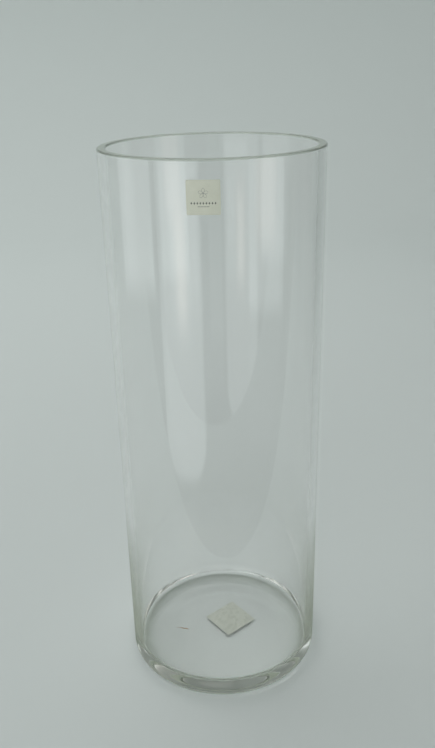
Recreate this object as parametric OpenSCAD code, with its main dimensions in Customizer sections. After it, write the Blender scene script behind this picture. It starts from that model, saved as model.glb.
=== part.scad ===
// Glass cylinder vase: a one-piece glass vessel with a label on its wall and a label under its base.
// +Z is up and the origin is the centre of the foot. The front of the vase faces -Y. Millimetres.

/* [Vessel] */
// Outside diameter of the cylinder
outer_diameter = 150; // [130:1:200]
// Height from the foot to the top of the rim
vessel_height = 400; // [150:5:600]
// Thickness of the side wall
wall_thickness = 6; // [4:0.5:8]
// Height of the inside floor above the foot
floor_height = 10; // [6:0.5:16]
// Radius of the inside corner where the wall meets the floor
floor_corner_radius = 7; // [3:0.5:12]
// Radius of the heel, where the wall turns under to the foot
heel_radius = 5; // [2:0.5:8]
// Radius of the fire-polished edges on both sides of the rim
rim_edge_radius = 1.2; // [0.5:0.1:1.8]

/* [Foot] */
// Width of the flat ring that the vessel stands on
foot_ring_width = 4; // [3:0.5:12]
// Height that the middle of the base is raised above the foot
recess_depth = 2; // [0.8:0.1:4]
// Width of the slope from the foot ring up to the level middle of the base
recess_slope_width = 30; // [2:1:30]

/* [Front label] */
// Side of the square film label on the outside of the wall
front_label_size = 20; // [15:1:40]
// Distance from the top of the rim down to the label's upper edge
front_label_drop = 11.4; // [5:0.1:60]
// Angle from the front of the vase round to the middle of the label, towards +X
front_label_angle = -4.4; // [-60:0.1:60]

/* [Base label] */
// Side of the square paper label stuck in the recess under the base
base_label_size = 30; // [15:1:36]
// Distance from the axis to the middle of the label along X
base_label_x = 6; // [-10:0.5:10]
// Distance from the axis to the middle of the label along Y
base_label_y = 9.5; // [-10:0.5:10]
// Angle that the label is turned through
base_label_turn = 39; // [0:1:90]

/* [Label stock] */
// Thickness of the printed face sheet of both labels
sheet_thickness = 0.1; // [0.06:0.01:0.2]
// Thickness of the adhesive layer behind each sheet
adhesive_thickness = 0.05; // [0.03:0.01:0.1]

/* [Hidden] */
$fn = 128;
outer_radius = outer_diameter / 2;
inner_radius = outer_radius - wall_thickness;
foot_outer_radius = outer_radius - heel_radius;
foot_inner_radius = foot_outer_radius - foot_ring_width;
recess_radius = foot_inner_radius - recess_slope_width;
// Reach of a cutting shape beyond the face that it cuts through
overrun = 1;

// What a quarter round of radius r takes off a square corner at the origin
module corner_waste(r) {
    difference() {
        translate([-overrun, -overrun])
            square(r + overrun);
        translate([r, r])
            circle(r);
    }
}

// Half section of the inside of the vessel, with its rounded bottom corner
module cavity_section() {
    difference() {
        translate([0, floor_height])
            square([inner_radius, vessel_height - floor_height + overrun]);
        translate([inner_radius, floor_height])
            mirror([1, 0])
                corner_waste(floor_corner_radius);
    }
}

// Half section of the shallow recess under the base
module recess_section() {
    polygon([
        [0, -overrun],
        [foot_inner_radius, -overrun],
        [foot_inner_radius, 0],
        [recess_radius, recess_depth],
        [0, recess_depth]
    ]);
}

// Half section of the glass, from the axis outwards
module vessel_section() {
    difference() {
        square([outer_radius, vessel_height]);
        cavity_section();
        recess_section();
        translate([outer_radius, 0])
            mirror([1, 0])
                corner_waste(heel_radius);
        translate([outer_radius, vessel_height])
            mirror([1, 0])
                mirror([0, 1])
                    corner_waste(rim_edge_radius);
        translate([inner_radius, vessel_height])
            mirror([0, 1])
                corner_waste(rim_edge_radius);
    }
}

// One layer of the wall label: a square patch of a thin tube whose inside radius is r
module wall_label_layer(r, thickness) {
    rotate([0, 0, front_label_angle])
        translate([0, 0, vessel_height - front_label_drop - front_label_size])
            intersection() {
                difference() {
                    cylinder(r = r + thickness, h = front_label_size);
                    translate([0, 0, -overrun])
                        cylinder(r = r, h = front_label_size + 2 * overrun);
                }
                translate([-front_label_size / 2, -2 * outer_radius, 0])
                    cube([front_label_size, 2 * outer_radius, front_label_size]);
            }
}

// One layer of the base label: a flat square whose upper face is at the height top
module base_label_layer(top, thickness) {
    translate([base_label_x, base_label_y, top - thickness])
        rotate([0, 0, base_label_turn])
            translate([-base_label_size / 2, -base_label_size / 2, 0])
                cube([base_label_size, base_label_size, thickness]);
}

// Wall, floor, heel and foot ring are one piece of clear glass
module glass_vessel() {
    color([0.78, 0.86, 0.83, 0.35])
        rotate_extrude()
            vessel_section();
}

// Adhesive that holds the wall label to the glass
module front_label_adhesive() {
    color([0.90, 0.90, 0.84, 0.6])
        wall_label_layer(outer_radius, adhesive_thickness);
}

// Face sheet of the wall label, a cream film
module front_label_film() {
    color([0.84, 0.83, 0.72])
        wall_label_layer(outer_radius + adhesive_thickness, sheet_thickness);
}

// Adhesive that holds the base label up in the recess
module base_label_adhesive() {
    color([0.90, 0.90, 0.84, 0.6])
        base_label_layer(recess_depth, adhesive_thickness);
}

// Face sheet of the base label, plain paper
module base_label_paper() {
    color([0.86, 0.84, 0.76])
        base_label_layer(recess_depth - adhesive_thickness, sheet_thickness);
}

glass_vessel();
front_label_film();
front_label_adhesive();
base_label_paper();
base_label_adhesive();
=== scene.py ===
"""Looks of the glass cylinder vase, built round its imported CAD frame. Metres, +Z up, front towards -Y."""
import math

import bmesh
import bpy
from mathutils import Matrix, Vector


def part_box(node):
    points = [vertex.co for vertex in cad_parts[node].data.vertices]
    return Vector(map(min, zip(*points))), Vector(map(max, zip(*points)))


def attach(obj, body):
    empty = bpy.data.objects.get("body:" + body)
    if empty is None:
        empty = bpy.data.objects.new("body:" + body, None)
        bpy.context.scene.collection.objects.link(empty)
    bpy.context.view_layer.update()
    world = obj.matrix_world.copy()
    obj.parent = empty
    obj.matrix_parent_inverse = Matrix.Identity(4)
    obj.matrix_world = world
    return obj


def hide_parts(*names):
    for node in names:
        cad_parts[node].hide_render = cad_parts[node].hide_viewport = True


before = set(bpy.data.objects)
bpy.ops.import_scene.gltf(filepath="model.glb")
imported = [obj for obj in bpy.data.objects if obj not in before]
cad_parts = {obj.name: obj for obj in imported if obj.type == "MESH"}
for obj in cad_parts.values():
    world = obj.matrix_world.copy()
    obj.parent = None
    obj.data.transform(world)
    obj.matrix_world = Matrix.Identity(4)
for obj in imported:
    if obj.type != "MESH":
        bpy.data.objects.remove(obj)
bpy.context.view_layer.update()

MM = 0.001

# The vessel: what the frame's box gives, and the sizes that the CAD source works with.
_, glass_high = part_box("glass_vessel")
OUTER_R = glass_high.x
HEIGHT = glass_high.z
WALL = 6 * MM
INNER_R = OUTER_R - WALL
FLOOR_TOP = 10 * MM
FLOOR_CORNER_R = 7 * MM
HEEL_R = 5 * MM
RIM_EDGE_R = 1.2 * MM
FOOT_RING = 4 * MM
RECESS_SLOPE = 30 * MM
RECESS_DEPTH = 2 * MM


# ---------------------------------------------------------------- helpers

ON_AXIS = 1e-7


def arc(centre, radius, start_deg, end_deg, steps):
    """Points of a round stretch of a profile, from one angle to the other."""
    points = []
    for i in range(steps + 1):
        a = math.radians(start_deg + (end_deg - start_deg) * i / steps)
        points.append((centre[0] + radius * math.cos(a), centre[1] + radius * math.sin(a)))
    return points


def line(start, end, steps):
    """Points of a straight stretch of a profile, without its two ends."""
    (x0, y0), (x1, y1) = start, end
    return [(x0 + (x1 - x0) * i / steps, y0 + (y1 - y0) * i / steps) for i in range(1, steps)]


def to_piece(bm, name, material):
    """A new object from a finished bmesh."""
    mesh = bpy.data.meshes.new(name)
    bm.to_mesh(mesh)
    bm.free()
    mesh.materials.append(material)
    piece = bpy.data.objects.new(name, mesh)
    bpy.context.scene.collection.objects.link(piece)
    return piece


def finish_mesh(bm, name, material):
    """The same, with the faces' outsides made to agree."""
    bmesh.ops.recalc_face_normals(bm, faces=bm.faces)
    return to_piece(bm, name, material)


def ring_faces(bm, first, second):
    """Quads between two closed rings with the same number of points."""
    for i in range(len(first)):
        j = (i + 1) % len(first)
        bm.faces.new((first[i], first[j], second[j], second[i]))


def lathe(name, profile, segments, material, finish=finish_mesh):
    """A smooth mesh swept by turning a profile round the Z axis. A point on the axis becomes one vertex.
    finish turns the bmesh into an object."""
    bm = bmesh.new()
    angles = [2 * math.pi * s / segments for s in range(segments)]
    rings = []
    for r, z in profile:
        if r < ON_AXIS:
            rings.append([bm.verts.new((0, 0, z))])
        else:
            rings.append([bm.verts.new((r * math.cos(a), r * math.sin(a), z)) for a in angles])
    for low, high in zip(rings, rings[1:]):
        for s in range(segments):
            t = (s + 1) % segments
            if len(low) == 1:
                bm.faces.new((low[0], high[s], high[t]))
            elif len(high) == 1:
                bm.faces.new((low[s], high[0], low[t]))
            else:
                bm.faces.new((low[s], high[s], high[t], low[t]))
    piece = finish(bm, name, material)
    for face in piece.data.polygons:
        face.use_smooth = True
    return piece


# ---------------------------------------------------------------- shader helpers

def principled(name, **values):
    """A new material and its Principled node, with constant values set on the node's own sockets."""
    material = bpy.data.materials.new(name)
    material.use_nodes = True
    shader = material.node_tree.nodes["Principled BSDF"]
    for socket, value in values.items():
        shader.inputs[socket.replace("_", " ")].default_value = value
    return material, shader


def blank_material(name):
    """A new material with an empty node tree."""
    material = bpy.data.materials.new(name)
    material.use_nodes = True
    material.node_tree.nodes.clear()
    return material, material.node_tree


def show_mix(tree, share, first, second, output="ShaderNodeOutputMaterial"):
    """Ends a tree with a mix of two shaders: the first where share is 0 and the second where it is 1."""
    mix = tree.nodes.new("ShaderNodeMixShader")
    tree.links.new(share, mix.inputs[0])
    tree.links.new(first.outputs[0], mix.inputs[1])
    tree.links.new(second.outputs[0], mix.inputs[2])
    end = tree.nodes.new(output)
    tree.links.new(mix.outputs[0], end.inputs["Surface"])


def stretched(tree, scale):
    """Object coordinates, in metres, multiplied by a scale along each axis."""
    place = tree.nodes.new("ShaderNodeTexCoord")
    mapping = tree.nodes.new("ShaderNodeMapping")
    mapping.inputs["Scale"].default_value = scale
    tree.links.new(place.outputs["Object"], mapping.inputs["Vector"])
    return mapping.outputs[0]


def noise(tree, scale, detail, roughness=0.5, distortion=0.0, stretch=(1, 1, 1)):
    """Noise in object space. scale is about how many blotches there are to the metre."""
    node = tree.nodes.new("ShaderNodeTexNoise")
    node.inputs["Scale"].default_value = scale
    node.inputs["Detail"].default_value = detail
    node.inputs["Roughness"].default_value = roughness
    node.inputs["Distortion"].default_value = distortion
    tree.links.new(stretched(tree, stretch), node.inputs["Vector"])
    return node.outputs["Fac"]


def ramp(tree, value, start, end, low=0.0, high=1.0):
    """Goes from low to high as the value goes from start to end, and stays there beyond them."""
    node = tree.nodes.new("ShaderNodeMapRange")
    node.inputs["From Min"].default_value = start
    node.inputs["From Max"].default_value = end
    node.inputs["To Min"].default_value = low
    node.inputs["To Max"].default_value = high
    tree.links.new(value, node.inputs["Value"])
    return node.outputs[0]


def blend(tree, share, first, second):
    """Mixes two colours; each is a socket or a plain colour."""
    node = tree.nodes.new("ShaderNodeMix")
    node.data_type = "RGBA"
    for socket, value in ((node.inputs[0], share), (node.inputs[6], first), (node.inputs[7], second)):
        if isinstance(value, bpy.types.NodeSocket):
            tree.links.new(value, socket)
        else:
            socket.default_value = (*value, 1)
    return node.outputs[2]


def maths(tree, operation, first, second):
    node = tree.nodes.new("ShaderNodeMath")
    node.operation = operation
    for socket, value in zip(node.inputs, (first, second)):
        if isinstance(value, (int, float)):
            socket.default_value = value
        else:
            tree.links.new(value, socket)
    return node.outputs[0]


def bump(tree, shader, height, distance, strength):
    node = tree.nodes.new("ShaderNodeBump")
    node.inputs["Distance"].default_value = distance
    node.inputs["Strength"].default_value = strength
    tree.links.new(height, node.inputs["Height"])
    tree.links.new(node.outputs[0], shader.inputs["Normal"])


def axis_of(tree, place, axis):
    """One coordinate of a point."""
    axes = tree.nodes.new("ShaderNodeSeparateXYZ")
    tree.links.new(place, axes.inputs[0])
    return axes.outputs[axis]


# ---------------------------------------------------------------- materials

GLASS_IOR = 1.52
GLASS_DEPTH_COLOUR = (0.53, 0.575, 0.38)
GLASS_DEPTH_DENSITY = 1.5
# Going up, the rim's satin and its frost start and end this far below the top.
RIM_SATIN = 0.04
SATIN_START, SATIN_END = 0.8 * RIM_EDGE_R, 0.3 * RIM_EDGE_R
RIM_FROST = 0.45
RIM_FROST_COLOUR = (0.56, 0.62, 0.55)
FROST_START, FROST_END = 1.1 * RIM_EDGE_R, 0.7 * RIM_EDGE_R
# The foot ring's scuffs are whole at the first height and gone at the second.
FOOT_SCUFF = 0.06
SCUFF_START, SCUFF_END = 0.02 * MM, 0.25 * MM
SMEAR = 0.012
DRAWN_DEPTH = 0.03 * MM
DRAWN_STREAKS = 0.06

FILM_COLOUR = (0.86, 0.87, 0.745)
FILM_DARKER = (0.83, 0.84, 0.715)
FILM_EDGE = (0.74, 0.74, 0.60)
PAPER_COLOUR = (0.525, 0.545, 0.475)
PAPER_DARKER = (0.50, 0.51, 0.44)
PAPER_FIBRE = (0.59, 0.60, 0.535)
PAPER_EDGE = (0.47, 0.47, 0.395)
GUM_COLOUR = (0.535, 0.57, 0.50)
GUM_WET = (0.52, 0.555, 0.485)
GUM_BUBBLE = (0.58, 0.615, 0.545)
DARK_INK, DARK_INK_THIN = (0.06, 0.06, 0.055), (0.12, 0.12, 0.11)
PALE_INK_COLOUR, PALE_INK_THIN = (0.30, 0.31, 0.28), (0.36, 0.37, 0.33)
CRUST_COLOUR, CRUST_THIN = (0.22, 0.11, 0.03), (0.40, 0.28, 0.13)


def glass_material():
    """Clear soda glass with a faint tint in its depth: satin and lightly frosted at the rim, scuffed on the
    foot ring, with long drawn streaks down the wall and the thin smears that handling leaves."""
    material, shader = principled("clear_glass", Base_Color=(1, 1, 1, 1), Roughness=0.0, IOR=GLASS_IOR,
                                  Transmission_Weight=1.0)
    tree = material.node_tree
    place = tree.nodes.new("ShaderNodeTexCoord")
    height = axis_of(tree, place.outputs["Object"], "Z")
    satin = ramp(tree, height, HEIGHT - SATIN_START, HEIGHT - SATIN_END, 0, RIM_SATIN)
    frost = ramp(tree, height, HEIGHT - FROST_START, HEIGHT - FROST_END)
    tree.links.new(blend(tree, frost, (1, 1, 1), RIM_FROST_COLOUR), shader.inputs["Base Color"])
    tree.links.new(ramp(tree, frost, 0, 1, 1, 1 - RIM_FROST), shader.inputs["Transmission Weight"])
    foot = ramp(tree, height, SCUFF_START, SCUFF_END, FOOT_SCUFF, 0)
    scuffs = noise(tree, scale=900, detail=3, roughness=0.6)
    foot = maths(tree, "MULTIPLY", foot, ramp(tree, scuffs, 0.35, 0.6, 0.2, 1))
    smear = noise(tree, scale=22, detail=5, roughness=0.6, distortion=0.8, stretch=(1, 1, 0.6))
    smear = ramp(tree, smear, 0.58, 0.72, 0, SMEAR)
    rough = maths(tree, "MAXIMUM", maths(tree, "MAXIMUM", satin, foot), smear)
    tree.links.new(rough, shader.inputs["Roughness"])
    drawn = noise(tree, scale=55, detail=1, roughness=0.4, stretch=(1, 1, 0.04))
    bump(tree, shader, drawn, DRAWN_DEPTH, DRAWN_STREAKS)
    volume = tree.nodes.new("ShaderNodeVolumeAbsorption")
    volume.inputs["Color"].default_value = (*GLASS_DEPTH_COLOUR, 1)
    volume.inputs["Density"].default_value = GLASS_DEPTH_DENSITY
    tree.links.new(volume.outputs[0], tree.nodes["Material Output"].inputs["Volume"])
    return material


def sheet_edge(tree, reach):
    """1 at the cut edge of a label and 0 from a share of its half width inwards."""
    place = tree.nodes.new("ShaderNodeUVMap")
    offs = []
    for axis in ("X", "Y"):
        off = maths(tree, "SUBTRACT", axis_of(tree, place.outputs[0], axis), 0.5)
        offs.append(maths(tree, "ABSOLUTE", off, 0.0))
    return ramp(tree, maths(tree, "MAXIMUM", *offs), 0.5 - 0.5 * reach, 0.5)


def film_material():
    """Cream plastic film: faint mottling, satin gloss, orange-peel bump, and edges that have yellowed."""
    material, shader = principled("label_film", Base_Color=(*FILM_COLOUR, 1), Roughness=0.45, IOR=1.5)
    tree = material.node_tree
    mottle = noise(tree, scale=260, detail=3)
    body = blend(tree, ramp(tree, mottle, 0.35, 0.65), FILM_COLOUR, FILM_DARKER)
    worn = maths(tree, "MULTIPLY", sheet_edge(tree, 0.10), noise(tree, scale=900, detail=2))
    tree.links.new(blend(tree, worn, body, FILM_EDGE), shader.inputs["Base Color"])
    tree.links.new(ramp(tree, mottle, 0.3, 0.7, 0.36, 0.52), shader.inputs["Roughness"])
    bump(tree, shader, noise(tree, scale=2600, detail=2), 0.01 * MM, 0.5)
    return material


def paper_material():
    """Uncoated grey-beige paper: fibres, blotches, and a darker cut edge."""
    material, shader = principled("label_paper", Base_Color=(*PAPER_COLOUR, 1), Roughness=0.85, IOR=1.45)
    tree = material.node_tree
    blotch = noise(tree, scale=180, detail=4)
    fibre = noise(tree, scale=1400, detail=4, roughness=0.6, distortion=0.6, stretch=(1, 5, 1))
    body = blend(tree, ramp(tree, blotch, 0.35, 0.65), PAPER_COLOUR, PAPER_DARKER)
    body = blend(tree, ramp(tree, fibre, 0.55, 0.72, 0, 0.35), body, PAPER_FIBRE)
    worn = maths(tree, "MULTIPLY", sheet_edge(tree, 0.07), noise(tree, scale=700, detail=2))
    tree.links.new(blend(tree, worn, body, PAPER_EDGE), shader.inputs["Base Color"])
    tree.links.new(ramp(tree, fibre, 0.3, 0.7, 0.75, 0.92), shader.inputs["Roughness"])
    bump(tree, shader, fibre, 0.03 * MM, 0.6)
    return material


def adhesive_material():
    """Cream gum: wet-out patches that are glossier and darker, and tiny trapped bubbles."""
    material, shader = principled("label_adhesive", Base_Color=(*GUM_COLOUR, 1), Roughness=0.3, IOR=1.47)
    tree = material.node_tree
    wet = noise(tree, scale=320, detail=4, roughness=0.55, distortion=0.4)
    cells = tree.nodes.new("ShaderNodeTexVoronoi")
    cells.inputs["Scale"].default_value = 1500
    tree.links.new(stretched(tree, (1, 1, 1)), cells.inputs["Vector"])
    bubble = ramp(tree, cells.outputs["Distance"], 0.10, 0.22, 1, 0)
    body = blend(tree, ramp(tree, wet, 0.42, 0.60), GUM_COLOUR, GUM_WET)
    body = blend(tree, maths(tree, "MULTIPLY", bubble, 0.35), body, GUM_BUBBLE)
    tree.links.new(body, shader.inputs["Base Color"])
    tree.links.new(ramp(tree, wet, 0.4, 0.6, 0.42, 0.22), shader.inputs["Roughness"])
    bump(tree, shader, bubble, 0.01 * MM, 0.6)
    return material


def ink_material(name, colour, thin_colour):
    """Printing ink, or a dried residue, that lies unevenly."""
    material, shader = principled(name, Base_Color=(*colour, 1), Roughness=0.4, IOR=1.5)
    tree = material.node_tree
    cover = noise(tree, scale=2400, detail=3)
    body = blend(tree, ramp(tree, cover, 0.4, 0.65), colour, thin_colour)
    tree.links.new(body, shader.inputs["Base Color"])
    tree.links.new(ramp(tree, cover, 0.3, 0.7, 0.3, 0.55), shader.inputs["Roughness"])
    bump(tree, shader, cover, 0.003 * MM, 0.4)
    return material


GLASS = glass_material()
FILM = film_material()
PAPER = paper_material()
ADHESIVE = adhesive_material()
INK = ink_material("dark_ink", DARK_INK, DARK_INK_THIN)
CRUST = ink_material("dried_residue", CRUST_COLOUR, CRUST_THIN)
PALE_INK = ink_material("pale_ink", PALE_INK_COLOUR, PALE_INK_THIN)

# ---------------------------------------------------------------- glass vessel

VESSEL_SEGMENTS = 400
# Extra rings this far from a rounded edge keep the smooth shading from spreading along the flat glass.
EDGE_HOLD = 0.3 * MM


def recess_profile(foot_inner):
    """The underside, from the middle of the recess down its eased slope to the foot ring."""
    flat_r = foot_inner - RECESS_SLOPE
    steps = 30
    points = [(0, RECESS_DEPTH)] + line((0, RECESS_DEPTH), (flat_r, RECESS_DEPTH), 6)
    for i in range(steps + 1):
        t = i / steps
        ease = t * t * (3 - 2 * t)
        points.append((flat_r + RECESS_SLOPE * t, RECESS_DEPTH * (1 - ease)))
    return points


def vessel_profile():
    """Round the glass: underside, heel, outer wall, rim, inner wall and floor."""
    foot_outer = OUTER_R - HEEL_R
    foot_inner = foot_outer - FOOT_RING
    wall_top = HEIGHT - RIM_EDGE_R
    rim_outer = OUTER_R - RIM_EDGE_R
    rim_inner = INNER_R + RIM_EDGE_R
    corner_r = INNER_R - FLOOR_CORNER_R
    corner_top = FLOOR_TOP + FLOOR_CORNER_R
    points = recess_profile(foot_inner)
    points += line((foot_inner, 0), (foot_outer, 0), 6)
    points += arc((foot_outer, HEEL_R), HEEL_R, -90, 0, 16)
    points += [(OUTER_R, HEEL_R + EDGE_HOLD)]
    points += line((OUTER_R, HEEL_R), (OUTER_R, wall_top), 40)
    points += [(OUTER_R, wall_top - EDGE_HOLD)]
    points += arc((rim_outer, wall_top), RIM_EDGE_R, 0, 90, 8)
    points += line((rim_outer, HEIGHT), (rim_inner, HEIGHT), 6)
    points += arc((rim_inner, wall_top), RIM_EDGE_R, 90, 180, 8)
    points += [(INNER_R, wall_top - EDGE_HOLD)]
    points += line((INNER_R, wall_top), (INNER_R, corner_top), 40)
    points += [(INNER_R, corner_top + EDGE_HOLD)]
    points += arc((corner_r, corner_top), FLOOR_CORNER_R, 0, -90, 20)
    points += line((corner_r, FLOOR_TOP), (0, FLOOR_TOP), 8)
    points += [(0, FLOOR_TOP)]
    return points


vessel = lathe("vessel", vessel_profile(), VESSEL_SEGMENTS, GLASS)
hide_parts("glass_vessel")
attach(vessel, "root")

# ---------------------------------------------------------------- labels
# Each label is a face sheet on its adhesive. A hair of air keeps the adhesive off the glass, so that the
# surfaces never lie in one another.

AIR = 0.01 * MM
ADHESIVE_TOP = 0.05 * MM
FACE_TOP = 0.15 * MM
FRONT_SIDE = 20 * MM
BASE_SIDE = 30 * MM
SHEET_CORNER_R = 0.6 * MM


def rounded_square(side, radius):
    """Outline of a label about its own centre, anticlockwise, with points along its straight sides too."""
    reach = side / 2 - radius
    points = []
    for quarter, (cx, cy) in enumerate(((reach, reach), (-reach, reach), (-reach, -reach), (reach, -reach))):
        points += arc((cx, cy), radius, 90 * quarter, 90 * quarter + 90, 6)
    dense = []
    for first, second in zip(points, points[1:] + points[:1]):
        dense.append(first)
        if math.dist(first, second) > 2 * MM:
            dense += line(first, second, 16)
    return dense


def sheet(name, outline, place, low, high, material, lift=None):
    """Closed thin sheet. place(u, v, h) puts a point of the flat sheet, at height h above the glass, in
    space. lift(u, v) is how far the sheet stands up from where it is stuck."""
    bm = bmesh.new()
    uv = bm.loops.layers.uv.new("sheet")
    reach = max(max(abs(u), abs(v)) for u, v in outline)
    rings = 10
    flat = {}

    def vertex(u, v, h):
        raised = h + (lift(u, v) if lift else 0)
        made = bm.verts.new(place(u, v, raised))
        flat[made] = (0.5 + 0.5 * u / reach, 0.5 + 0.5 * v / reach)
        return made

    rims = []
    for h in (low, high):
        previous = None
        for k in range(rings):
            scale = 1 - k / rings
            ring = [vertex(u * scale, v * scale, h) for u, v in outline]
            if previous:
                ring_faces(bm, previous, ring)
            else:
                rims.append(ring)
            previous = ring
        centre = vertex(0, 0, h)
        for i in range(len(previous)):
            bm.faces.new((previous[i], previous[(i + 1) % len(previous)], centre))
    ring_faces(bm, rims[0], rims[1])
    for face in bm.faces:
        for loop in face.loops:
            loop[uv].uv = flat[loop.vert]
    return finish_mesh(bm, name, material)


# The front label: stuck to the outside of the wall, just under the rim.
front_low, front_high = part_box("front_label_film")
FRONT_Z = (front_low.z + front_high.z) / 2
FRONT_TURN = math.asin((front_low.x + front_high.x) / 2 / OUTER_R)
# The lifted corner: the share of the way out to it at which the lift starts, and how high it gets.
CURL_START = 0.72
CURL_HEIGHT = 0.25 * MM


def on_wall(u, v, h):
    """A point of the front label, u to the right and v up from its centre as seen from the front."""
    a = FRONT_TURN + u / OUTER_R
    r = OUTER_R + h
    return (r * math.sin(a), -r * math.cos(a), FRONT_Z + v)


def corner_curl(u, v):
    """One lower corner has come up by a hair."""
    along = (u - v) / FRONT_SIDE - CURL_START
    return CURL_HEIGHT * max(0.0, along / (1 - CURL_START)) ** 2


front_outline = rounded_square(FRONT_SIDE, SHEET_CORNER_R)
front_adhesive = sheet("front_adhesive", front_outline, on_wall, AIR, ADHESIVE_TOP, ADHESIVE)
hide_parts("front_label_adhesive")
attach(front_adhesive, "root")
front_film = sheet("front_film", front_outline, on_wall, ADHESIVE_TOP, FACE_TOP, FILM, lift=corner_curl)
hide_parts("front_label_film")
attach(front_film, "root")

# The marks on the front label, in its own plane: a flower outline, and two rows of small shapes under it.
INK_THICKNESS = 0.006 * MM
PETALS = 5
PETAL_LENGTH, PETAL_WIDTH = 3.0 * MM, 2.0 * MM
PETAL_STROKE = 0.16 * MM
FLOWER_V = 2.4 * MM
DIAMONDS, DIAMOND_PITCH, DIAMOND_V = 9, 1.75 * MM, -3.3 * MM
DIAMOND_HALF_U, DIAMOND_HALF_V = 0.48 * MM, 0.75 * MM
DASHES, DASH_PITCH, DASH_V = 8, 0.85 * MM, -5.25 * MM
DASH_HALF_U, DASH_HALF_V = 0.3 * MM, 0.15 * MM


def petal(angle_deg):
    """A pointed leaf shape that leaves the flower's middle at an angle."""
    turn = math.radians(angle_deg)
    steps = 18
    points = []
    for i in range(steps):
        t = 2 * math.pi * i / steps
        along = PETAL_LENGTH * (0.5 - 0.5 * math.cos(t))
        across = 0.5 * PETAL_WIDTH * math.sin(t) * (0.55 + 0.45 * math.sin(t / 2))
        u = along * math.cos(turn) - across * math.sin(turn)
        v = along * math.sin(turn) + across * math.cos(turn)
        points.append((u, FLOWER_V + v))
    return points


def middle(points):
    return sum(p[0] for p in points) / len(points), sum(p[1] for p in points) / len(points)


def shrunk(points, margin):
    """The outline moved inwards, towards its own middle."""
    cu, cv = middle(points)
    inner = []
    for u, v in points:
        keep = max(0.2, 1 - margin / max(math.hypot(u - cu, v - cv), 1e-9))
        inner.append((cu + (u - cu) * keep, cv + (v - cv) * keep))
    return inner


def ink_solid(bm, outline, low, high, hole=None):
    """A printed shape as a very thin closed solid on the front label, filled or with a hole."""
    rims = [[bm.verts.new(on_wall(u, v, h)) for u, v in outline] for h in (low, high)]
    ring_faces(bm, rims[0], rims[1])
    if hole:
        inner = [[bm.verts.new(on_wall(u, v, h)) for u, v in hole] for h in (low, high)]
        ring_faces(bm, inner[0], inner[1])
        for rim, edge in zip(rims, inner):
            ring_faces(bm, rim, edge)
        return
    for rim, h in zip(rims, (low, high)):
        centre = bm.verts.new(on_wall(*middle(outline), h))
        for i in range(len(rim)):
            bm.faces.new((rim[i], rim[(i + 1) % len(rim)], centre))


def front_print():
    """A plain flower outline, and under it a row of small diamonds and one of short dashes."""
    low = FACE_TOP + AIR / 2
    high = low + INK_THICKNESS
    pale = bmesh.new()
    for k in range(PETALS):
        outline = petal(90 + 360 * k / PETALS)
        ink_solid(pale, outline, low, high, shrunk(outline, PETAL_STROKE))
    flower = finish_mesh(pale, "front_print_flower", PALE_INK)
    dark = bmesh.new()
    for k in range(DIAMONDS):
        u = (k - (DIAMONDS - 1) / 2) * DIAMOND_PITCH
        left, right = u - DIAMOND_HALF_U, u + DIAMOND_HALF_U
        bottom, top = DIAMOND_V - DIAMOND_HALF_V, DIAMOND_V + DIAMOND_HALF_V
        ink_solid(dark, [(right, DIAMOND_V), (u, top), (left, DIAMOND_V), (u, bottom)], low, high)
    for k in range(DASHES):
        u = (k - (DASHES - 1) / 2) * DASH_PITCH
        left, right = u - DASH_HALF_U, u + DASH_HALF_U
        bottom, top = DASH_V - DASH_HALF_V, DASH_V + DASH_HALF_V
        ink_solid(dark, [(right, top), (left, top), (left, bottom), (right, bottom)], low, high)
    marks = finish_mesh(dark, "front_print_marks", INK)
    for piece in (flower, marks):
        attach(piece, "root")


front_print()

# The base label: stuck up under the raised middle of the base, clear of the table.
base_low, base_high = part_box("base_label_paper")
BASE_X = (base_low.x + base_high.x) / 2
BASE_Y = (base_low.y + base_high.y) / 2
BASE_TURN = math.radians(39)


def under_base(u, v, h):
    """A point of the base label, h below the underside of the glass."""
    x = u * math.cos(BASE_TURN) - v * math.sin(BASE_TURN)
    y = u * math.sin(BASE_TURN) + v * math.cos(BASE_TURN)
    return (BASE_X + x, BASE_Y + y, RECESS_DEPTH - h)


base_outline = rounded_square(BASE_SIDE, SHEET_CORNER_R)
base_adhesive = sheet("base_adhesive", base_outline, under_base, AIR, ADHESIVE_TOP, ADHESIVE)
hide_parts("base_label_adhesive")
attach(base_adhesive, "root")
base_paper = sheet("base_paper", base_outline, under_base, ADHESIVE_TOP, FACE_TOP, PAPER)
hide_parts("base_label_paper")
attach(base_paper, "root")

# ---------------------------------------------------------------- residue
# A streak of dried residue on the inner floor.

FLECK_ENDS = ((-40.0 * MM, -5.5 * MM), (-28.5 * MM, -7.5 * MM))
FLECK_WIDTH = 1.3 * MM
FLECK_TOP = 0.12 * MM
FLECK_BEND = 0.3 * MM


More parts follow.
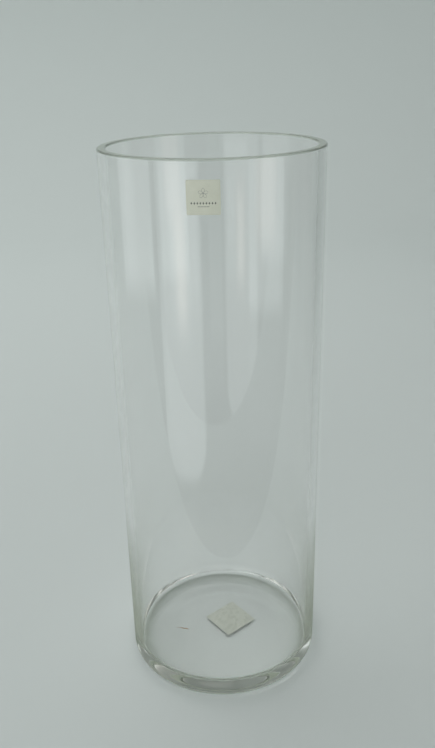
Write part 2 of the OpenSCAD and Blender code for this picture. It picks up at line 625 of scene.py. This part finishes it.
def fleck():
    """A thin tapered crust, widest past its middle, with wavy sides."""
    (x0, y0), (x1, y1) = FLECK_ENDS
    length = math.hypot(x1 - x0, y1 - y0)
    turn = math.atan2(y1 - y0, x1 - x0)
    bm = bmesh.new()
    steps = 24
    rims = []
    for h in (AIR, FLECK_TOP):
        rim = []
        for side in (1, -1):
            for i in range(steps):
                t = (i + 0.5) / steps if side > 0 else 1 - (i + 0.5) / steps
                wave = 0.8 + 0.2 * math.sin(17 * t + side)
                half = 0.5 * FLECK_WIDTH * math.sin(math.pi * t ** 1.6) * wave
                along = t * length
                across = side * half + FLECK_BEND * math.sin(5 * t)
                x = x0 + along * math.cos(turn) - across * math.sin(turn)
                y = y0 + along * math.sin(turn) + across * math.cos(turn)
                rim.append(bm.verts.new((x, y, FLOOR_TOP + h)))
        rims.append(rim)
    ring_faces(bm, rims[0], rims[1])
    for rim in rims:
        for i in range(steps - 1):
            bm.faces.new((rim[i], rim[i + 1], rim[2 * steps - 2 - i], rim[2 * steps - 1 - i]))
    piece = finish_mesh(bm, "floor_fleck", CRUST)
    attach(piece, "root")


fleck()

# ---------------------------------------------------------------- studio
# Even ambient light and two soft boxes light the vase on a pale paper sweep. What the glass mirrors is the
# room on the camera's side of the table: grey, with bright windows and dark figures, drawn as plain cards
# that only mirror reflections see. For those reflections the sweep ends at the table's front edge. In every
# other view it is whole, so the floor stays plain and pale from every side.

# The table's front edge is where Y = EDGE_Y + EDGE_SLOPE * X. Where it is blurred, it is over EDGE_SOFT.
EDGE_Y = -0.25
EDGE_SLOPE = 0.085
EDGE_SOFT = 0.16
# Mirrored, the sweep is in full shade up to the first distance from the middle of the vase's foot, and in
# none from the second on. Under the vase it has only a share of that shade.
SWEEP_COLOUR = (0.58, 0.627, 0.612)
SHADE_COLOUR = (0.33, 0.37, 0.315)
SHADE_R = (0.09, 0.23)
SHADE_UNDER = 0.6
SWEEP_FLAT_R = 1.5
SWEEP_BEND_R = 0.7
SWEEP_WALL_TOP = 2.0
SWEEP_DROP = 0.2 * MM

# The strength of the ambient light and of the grey room. In the near wall's inner surface the room and its
# cards keep INNER_CONTRAST of their difference from ROOM_MEAN.
AMBIENT_LEVEL = 0.52
ROOM_LEVEL = 0.13
ROOM_MEAN = 0.38
INNER_CONTRAST = 0.5
SHARPEST_EDGE = 0.001
COOL = (0.94, 1.0, 1.0)
WARM = (1.03, 1.0, 0.96)
PLAIN = (1.0, 1.0, 1.0)
OLIVE = (0.93, 1.04, 0.98)

# The depths on a light path are whole numbers, so each threshold lies halfway between two of them. A path has
# been in the near wall alone at a transmission depth of 1 or 2, and has crossed the vase at a greater one.
ANY = 0.5
NEAR_WALL = 2.5


def after_mirror(tree):
    """1 on a path from the camera that only clear surfaces have turned, with a mirror reflection among
    them."""
    path = tree.nodes.new("ShaderNodeLightPath")
    mirrored = maths(tree, "GREATER_THAN", path.outputs["Glossy Depth"], ANY)
    undiffused = maths(tree, "LESS_THAN", path.outputs["Diffuse Depth"], ANY)
    clear = maths(tree, "MAXIMUM", path.outputs["Is Glossy Ray"], path.outputs["Is Transmission Ray"])
    return maths(tree, "MULTIPLY", maths(tree, "MULTIPLY", mirrored, undiffused), clear)


def through_near_wall(tree):
    """1 on a path that has gone into the near wall and out of it again, and 0 on one that never entered the
    glass or has crossed the vase."""
    path = tree.nodes.new("ShaderNodeLightPath")
    entered = maths(tree, "GREATER_THAN", path.outputs["Transmission Depth"], ANY)
    uncrossed = maths(tree, "LESS_THAN", path.outputs["Transmission Depth"], NEAR_WALL)
    return maths(tree, "MULTIPLY", entered, uncrossed)


def by_surface(tree, outer, inner, others):
    """One value where the near wall's outer surface has mirrored the path, one where its inner surface has,
    and one for the mirror reflections of everything behind it."""
    path = tree.nodes.new("ShaderNodeLightPath")
    crossed = maths(tree, "GREATER_THAN", path.outputs["Transmission Depth"], NEAR_WALL)
    near = ramp(tree, through_near_wall(tree), 0, 1, outer, inner)
    return maths(tree, "ADD", near, maths(tree, "MULTIPLY", crossed, others - outer))


def softened(level):
    """Shares a level out between the near wall's two surfaces: the inner one mirrors everything at the wall's
    outline, and its share is kept gentle there."""
    inner = ROOM_MEAN + INNER_CONTRAST * (level - ROOM_MEAN)
    return max(0.0, 2 * level - inner), inner, level


def sweep_material():
    """Pale paper. Where a mirror reflection looks at it, it is shaded close to the vase and cut away beyond
    the table's front edge. That edge is blurred in the near wall's inner surface and crisp elsewhere."""
    material, tree = blank_material("sweep_paper")
    paper = tree.nodes.new("ShaderNodeBsdfDiffuse")
    clear = tree.nodes.new("ShaderNodeBsdfTransparent")
    point = tree.nodes.new("ShaderNodeNewGeometry").outputs["Position"]
    mirrored = after_mirror(tree)
    length = tree.nodes.new("ShaderNodeVectorMath")
    length.operation = "LENGTH"
    tree.links.new(point, length.inputs[0])
    distance = length.outputs["Value"]
    outside = maths(tree, "GREATER_THAN", distance, OUTER_R)
    shade = ramp(tree, distance, *SHADE_R, 1, 0)
    shade = maths(tree, "MULTIPLY", shade, ramp(tree, outside, 0, 1, SHADE_UNDER, 1))
    shade = maths(tree, "MULTIPLY", shade, mirrored)
    tree.links.new(blend(tree, shade, SWEEP_COLOUR, SHADE_COLOUR), paper.inputs["Color"])
    edge = maths(tree, "ADD", maths(tree, "MULTIPLY", axis_of(tree, point, "X"), EDGE_SLOPE), EDGE_Y)
    past = maths(tree, "SUBTRACT", edge, axis_of(tree, point, "Y"))
    soft = ramp(tree, past, -0.5 * EDGE_SOFT, 0.5 * EDGE_SOFT)
    crisp = maths(tree, "GREATER_THAN", past, 0.0)
    inner = through_near_wall(tree)
    others = maths(tree, "SUBTRACT", 1.0, inner)
    beyond = maths(tree, "ADD", maths(tree, "MULTIPLY", soft, inner), maths(tree, "MULTIPLY", crisp, others))
    show_mix(tree, maths(tree, "MULTIPLY", beyond, mirrored), paper, clear)
    return material


def cyclorama():
    """A round paper sweep: flat, then bent up into a wall."""
    profile = [(0, 0)] + line((0, 0), (SWEEP_FLAT_R, 0), 10)
    profile += arc((SWEEP_FLAT_R, SWEEP_BEND_R), SWEEP_BEND_R, -90, 0, 16)
    profile += [(SWEEP_FLAT_R + SWEEP_BEND_R, SWEEP_WALL_TOP)]
    piece = lathe("cyclorama", profile, 96, sweep_material(), finish=to_piece)
    piece.location.z = -SWEEP_DROP


def edge_mask(tree, coordinate, low_soft, high_soft):
    """Rises from 0 to 1 over the first share of a 0 to 1 coordinate, and falls again over the last share."""
    masks = []
    for value, soft in ((coordinate, low_soft), (maths(tree, "SUBTRACT", 1.0, coordinate), high_soft)):
        rise = tree.nodes.new("ShaderNodeMapRange")
        rise.interpolation_type = "SMOOTHSTEP"
        rise.inputs["From Max"].default_value = max(soft, SHARPEST_EDGE)
        tree.links.new(value, rise.inputs["Value"])
        masks.append(rise.outputs[0])
    return maths(tree, "MULTIPLY", *masks)


def room_card(name, azimuths, heights, distance, level, tint, soft, dip=0.0, shared=True):
    """Part of the room: an upright patch of a cylinder round the vase, seen only by mirror reflections.
    Azimuth 0 is the camera's side and +90 is +X. soft gives the blurred share of the left, right, low and
    high edges, and dip is how far the low edge bulges downwards in its middle. A shared card follows
    softened()."""
    (start, end), (bottom, top) = azimuths, heights
    steps = 24
    bm = bmesh.new()
    uv = bm.loops.layers.uv.new("patch")
    columns = []
    for i in range(steps + 1):
        a = math.radians(start + (end - start) * i / steps)
        low = bottom - dip * (1 - (2 * i / steps - 1) ** 4)
        x, y = distance * math.sin(a), -distance * math.cos(a)
        columns.append([bm.verts.new((x, y, z)) for z in (low, top)])
    for i in range(steps):
        face = bm.faces.new((columns[i][0], columns[i + 1][0], columns[i + 1][1], columns[i][1]))
        for loop, (column, row) in zip(face.loops, ((i, 0), (i + 1, 0), (i + 1, 1), (i, 1))):
            loop[uv].uv = (column / steps, row)
    material, tree = blank_material(name)
    material.cycles.emission_sampling = "NONE"
    place = tree.nodes.new("ShaderNodeUVMap")
    across = edge_mask(tree, axis_of(tree, place.outputs[0], "X"), soft[0], soft[1])
    upright = edge_mask(tree, axis_of(tree, place.outputs[0], "Y"), soft[2], soft[3])
    shown = maths(tree, "MULTIPLY", maths(tree, "MULTIPLY", across, upright), after_mirror(tree))
    glow = tree.nodes.new("ShaderNodeEmission")
    glow.inputs["Color"].default_value = (*tint, 1)
    levels = softened(level) if shared else (level, level, level)
    tree.links.new(by_surface(tree, *levels), glow.inputs["Strength"])
    clear = tree.nodes.new("ShaderNodeBsdfTransparent")
    show_mix(tree, shown, clear, glow)
    card = to_piece(bm, name, material)


cyclorama()
room_card("left_window", (-57, -11), (-0.30, 1.60), 1.06, 1.02, COOL, (0.04, 0.1, 0.02, 0.1), 0.12)
room_card("left_glow", (-50, -11), (-0.12, 0.30), 1.04, 1.6, COOL, (0.3, 0.2, 0.5, 0.1))
room_card("left_lamp", (-42, -25), (-0.10, 0.24), 1.02, 2.2, WARM, (0.4, 0.4, 0.4, 0.3))
room_card("side_window", (-103, -60), (-0.02, 0.60), 1.04, 1.15, COOL, (0.1, 0.05, 0.15, 0))
room_card("middle_wall", (-12, 8), (-0.22, 0.60), 1.04, 0.30, COOL, (0, 0.1, 0.1, 0))
room_card("right_window", (31, 71), (-0.06, 1.40), 1.06, 0.95, COOL, (0.1, 0.05, 0.05, 0.1))
room_card("right_lamp", (38, 64), (0.06, 1.20), 1.04, 1.45, WARM, (0.2, 0.2, 0.1, 0.1))
room_card("right_low_wall", (30, 71), (-0.34, -0.04), 1.07, 0.20, COOL, (0.05, 0.05, 0.1, 0.1))
room_card("dark_flag", (7, 33), (-0.20, 0.60), 0.98, 0.08, PLAIN, (0.1, 0.1, 0.15, 0))
room_card("side_flag", (72, 112), (0.00, 0.60), 0.98, 0.22, PLAIN, (0.05, 0.1, 0.5, 0))
room_card("upper_window", (-12, 40), (0.65, 1.50), 1.00, 1.6, PLAIN, (0.2, 0.2, 0.2, 0.2), shared=False)
room_card("back_flag", (78, 282), (0.60, 2.6), 1.35, 0.22, OLIVE, (0.1, 0.1, 0.05, 0), shared=False)


def studio_world():
    """Even ambient light; mirror reflections that miss the sweep and the cards see the grey room instead."""
    world = bpy.data.worlds.new("studio")
    bpy.context.scene.world = world
    world.use_nodes = True
    tree = world.node_tree
    tree.nodes.clear()
    ambient = tree.nodes.new("ShaderNodeBackground")
    ambient.inputs["Color"].default_value = (1, 1, 1, 1)
    ambient.inputs["Strength"].default_value = AMBIENT_LEVEL
    room = tree.nodes.new("ShaderNodeBackground")
    room.inputs["Color"].default_value = (*COOL, 1)
    tree.links.new(by_surface(tree, *softened(ROOM_LEVEL)), room.inputs["Strength"])
    show_mix(tree, after_mirror(tree), ambient, room, "ShaderNodeOutputWorld")


studio_world()


def softbox(name, place, target, width, radiance):
    """A large soft light: a glowing disk that faces its target and lights it without being seen itself."""
    bm = bmesh.new()
    bmesh.ops.create_circle(bm, cap_ends=True, segments=48, radius=width / 2)
    material, tree = blank_material(name)
    glow = tree.nodes.new("ShaderNodeEmission")
    glow.inputs["Strength"].default_value = radiance
    clear = tree.nodes.new("ShaderNodeBsdfTransparent")
    facing = tree.nodes.new("ShaderNodeNewGeometry")
    path = tree.nodes.new("ShaderNodeLightPath")
    clear_path = maths(tree, "MAXIMUM", path.outputs["Is Glossy Ray"], path.outputs["Is Transmission Ray"])
    clear_path = maths(tree, "MAXIMUM", clear_path, path.outputs["Is Camera Ray"])
    undiffused = maths(tree, "LESS_THAN", path.outputs["Diffuse Depth"], ANY)
    unseen = maths(tree, "MULTIPLY", clear_path, undiffused)
    hidden = maths(tree, "MAXIMUM", facing.outputs["Backfacing"], unseen)
    show_mix(tree, hidden, glow, clear)
    lamp = to_piece(bm, name, material)
    lamp.location = place
    lamp.rotation_euler = (Vector(target) - Vector(place)).to_track_quat("Z", "Y").to_euler()


softbox("overhead_softbox", (-0.6, 1.0, 1.75), (-0.5, 1.15, 0.0), 2.3, 1.80)
softbox("front_softbox", (-0.5, -1.45, 0.95), (0.0, 0.0, 0.3), 1.1, 1.9)

GLASS_BOUNCES = 96
scene = bpy.context.scene
scene.view_settings.view_transform = "Standard"
scene.cycles.blur_glossy = 0
scene.cycles.max_bounces = GLASS_BOUNCES
scene.cycles.transmission_bounces = GLASS_BOUNCES
scene.cycles.glossy_bounces = GLASS_BOUNCES
scene.cycles.transparent_max_bounces = 24
scene.cycles.diffuse_bounces = 4

# ---------------------------------------------------------------- camera

LENS_MM, SENSOR_MM = 37.17, 36
PITCH_DEG, ROLL_DEG = 23.04, -1.4
CAMERA_BACK = 0.5217
CAMERA_ABOVE_RIM = 0.0586


def make_camera():
    """The photograph's viewpoint: a hand-held camera a little above the rim, looking down at the vase."""
    data = bpy.data.cameras.new("camera")
    data.lens = LENS_MM
    data.sensor_width = SENSOR_MM
    camera = bpy.data.objects.new("camera", data)
    bpy.context.scene.collection.objects.link(camera)
    pitch = math.radians(PITCH_DEG)
    roll = math.radians(ROLL_DEG)
    forward = Vector((0, math.cos(pitch), -math.sin(pitch)))
    level_right = Vector((1, 0, 0))
    level_up = level_right.cross(forward)
    right = math.cos(roll) * level_right + math.sin(roll) * level_up
    up = -math.sin(roll) * level_right + math.cos(roll) * level_up
    place = Matrix((right, up, -forward)).transposed().to_4x4()
    place.translation = Vector((0, -CAMERA_BACK, HEIGHT + CAMERA_ABOVE_RIM))
    camera.matrix_world = place
    bpy.context.scene.camera = camera


make_camera()
